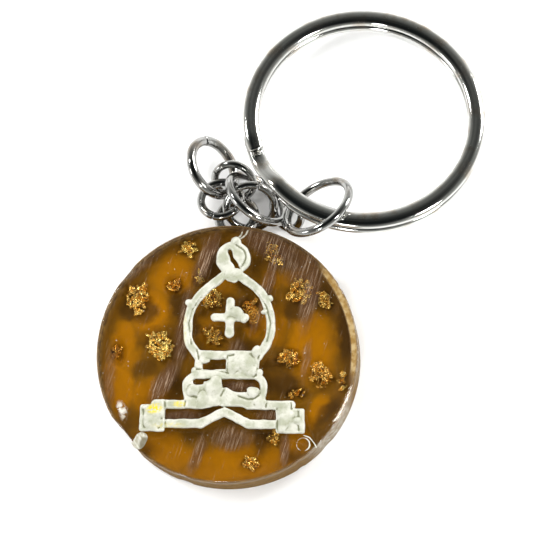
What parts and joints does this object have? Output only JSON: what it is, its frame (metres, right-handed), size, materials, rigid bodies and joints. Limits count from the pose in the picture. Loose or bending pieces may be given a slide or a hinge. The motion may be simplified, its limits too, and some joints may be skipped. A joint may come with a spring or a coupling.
{
  "type": "key ring with cast resin disc",
  "caption": "Round amber resin disc with gold leaf inside and a raised white chess-bishop outline, joined by a short chain of jump rings to a flat-wire split ring.",
  "frame": {"origin": "centre of the disc's flat back face, which lies on the table", "axes": "+Z out through the decorated face; +Y from the disc towards the bail and chain, which is up on the motif; +X to the motif's right"},
  "size_m": [0.0479, 0.0602, 0.01],
  "materials": {
    "cloudy_resin": "cast amber resin, cloudy brown and orange streaks, sanded edge",
    "clear_resin": "clear amber cast resin, glossy face with fine scratches, sanded edge",
    "gold_leaf": "crumpled gold-coloured metal leaf",
    "white_relief": "off-white raised lines, soft satin, slightly lumpy",
    "nickel_plate": "bright dark nickel plate"
  },
  "bodies": {
    "fob": {"resin_back": "cloudy_resin", "resin_front": "clear_resin", "bishop_outline": "white_relief", "bishop_cross": "white_relief", "corner_ring_right": "white_relief", "corner_dot_left": "white_relief", "bail_loop": "nickel_plate", "gold_leaf_01": "gold_leaf", "gold_leaf_02": "gold_leaf", "gold_leaf_03": "gold_leaf", "gold_leaf_04": "gold_leaf", "gold_leaf_05": "gold_leaf", "gold_leaf_06": "gold_leaf", "gold_leaf_07": "gold_leaf", "gold_leaf_08": "gold_leaf", "gold_leaf_09": "gold_leaf", "gold_leaf_10": "gold_leaf", "gold_leaf_11": "gold_leaf", "gold_leaf_12": "gold_leaf", "gold_leaf_13": "gold_leaf", "gold_leaf_14": "gold_leaf", "gold_leaf_15": "gold_leaf", "gold_leaf_16": "gold_leaf", "gold_leaf_17": "gold_leaf", "gold_leaf_18": "gold_leaf"},
    "link_1": {"link_1": "nickel_plate"},
    "link_2": {"link_2": "nickel_plate"},
    "link_3": {"link_3": "nickel_plate"},
    "link_4": {"link_4": "nickel_plate"},
    "link_5": {"link_5": "nickel_plate"},
    "link_6": {"link_6": "nickel_plate"},
    "link_7": {"link_7": "nickel_plate"},
    "split_ring": {"split_ring": "nickel_plate"}
  },
  "joints": [
    {"name": "link_1_on_bail", "type": "hinge", "parent": "fob", "child": "link_1", "pos_m": [0.0009, 0.0177, 0.0024], "axis": [-0.5003, 0.4803, 0.7204], "range_deg": [0, 45]},
    {"name": "link_2_on_link_1", "type": "hinge", "parent": "link_1", "child": "link_2", "pos_m": [-0.00095, 0.0197, 0.00395], "axis": [-0.311, 0.1806, 0.9331], "range_deg": [0, 35]},
    {"name": "link_3_on_link_2", "type": "hinge", "parent": "link_2", "child": "link_3", "pos_m": [-0.00025, 0.0199, 0.00135], "axis": [0.4827, -0.2313, -0.8447], "range_deg": [-75, 0]},
    {"name": "link_4_on_link_3", "type": "hinge", "parent": "link_3", "child": "link_4", "pos_m": [-0.00015, 0.0213, 0.00125], "axis": [-0.4788, -0.3192, 0.8179], "range_deg": [0, 25]},
    {"name": "link_5_on_link_4", "type": "hinge", "parent": "link_4", "child": "link_5", "pos_m": [0.00145, 0.0233, 0.0038], "axis": [0.4604, -0.4404, -0.7707], "range_deg": [-40, 0]},
    {"name": "link_6_on_link_5", "type": "hinge", "parent": "link_5", "child": "link_6", "pos_m": [0.0056, 0.02015, 0.0024], "axis": [-0.7689, -0.6191, -0.1598], "range_deg": [-80, 0]},
    {"name": "link_7_on_link_6", "type": "hinge", "parent": "link_6", "child": "link_7", "pos_m": [0.0077, 0.02015, 0.0045], "axis": [-0.7004, 0.6103, -0.3702], "range_deg": [0, 85]},
    {"name": "split_ring_on_link_7", "type": "hinge", "parent": "link_7", "child": "split_ring", "pos_m": [0.01125, 0.0178, 0.0064], "axis": [0.9891, 0.1299, -0.0699], "range_deg": [0, 85]}
  ]
}
